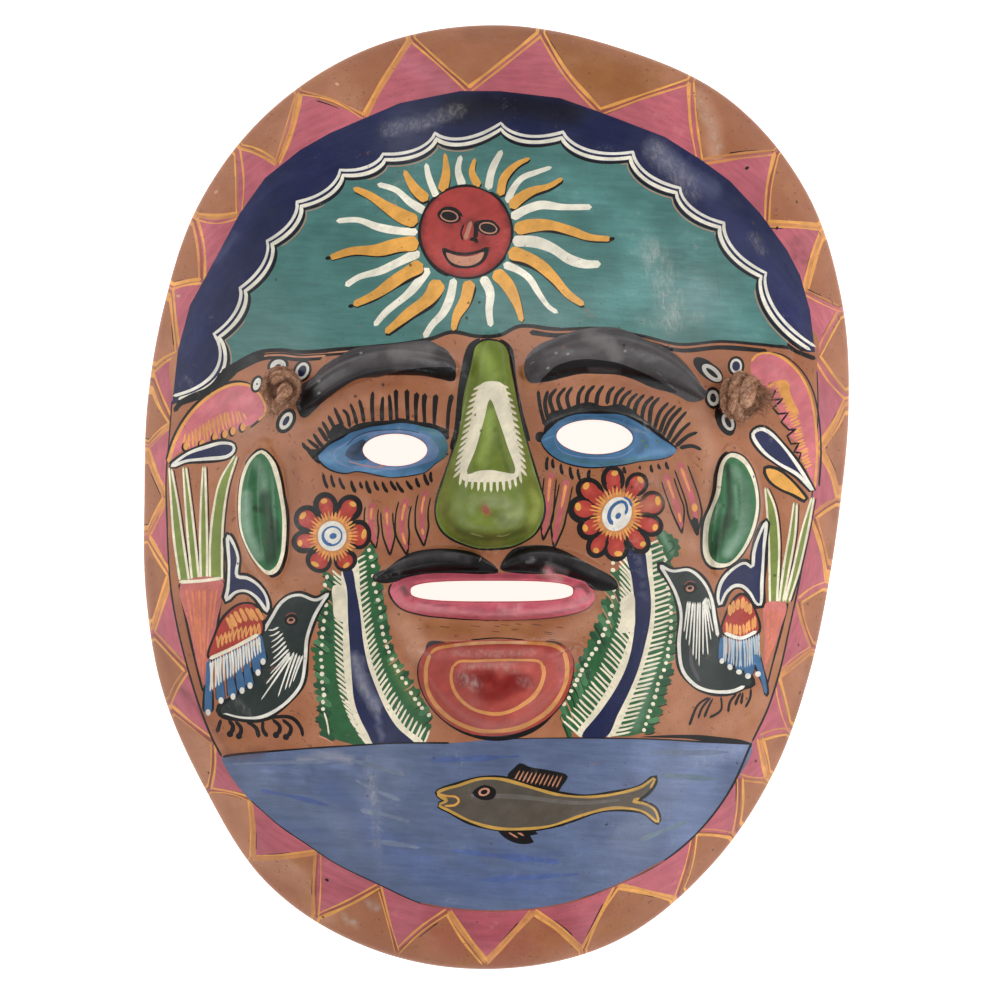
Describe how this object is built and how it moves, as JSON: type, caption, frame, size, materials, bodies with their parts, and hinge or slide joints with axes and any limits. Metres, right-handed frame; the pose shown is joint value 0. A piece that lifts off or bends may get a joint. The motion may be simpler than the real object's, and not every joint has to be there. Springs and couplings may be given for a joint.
{
  "type": "terracotta wall mask",
  "caption": "Hollow egg-shaped terracotta wall mask of a moustached face, painted with sun, flowers, birds and fish, with knotted twine to hang it.",
  "frame": {"origin": "on the table, under the middle of the rim's bounding box", "axes": "+Z out of the face, +Y from the chin to the crown, +X to the viewer's right"},
  "size_m": [0.2279, 0.305, 0.0781],
  "materials": {
    "painted_terracotta": "hand painted in matt paints and varnished on the front, bare clay behind",
    "jute": "natural hairy jute twine"
  },
  "bodies": {
    "root": {"mask": "painted_terracotta", "knot_left": "jute", "knot_right": "jute", "hanging_twine": "jute"}
  },
  "joints": []
}
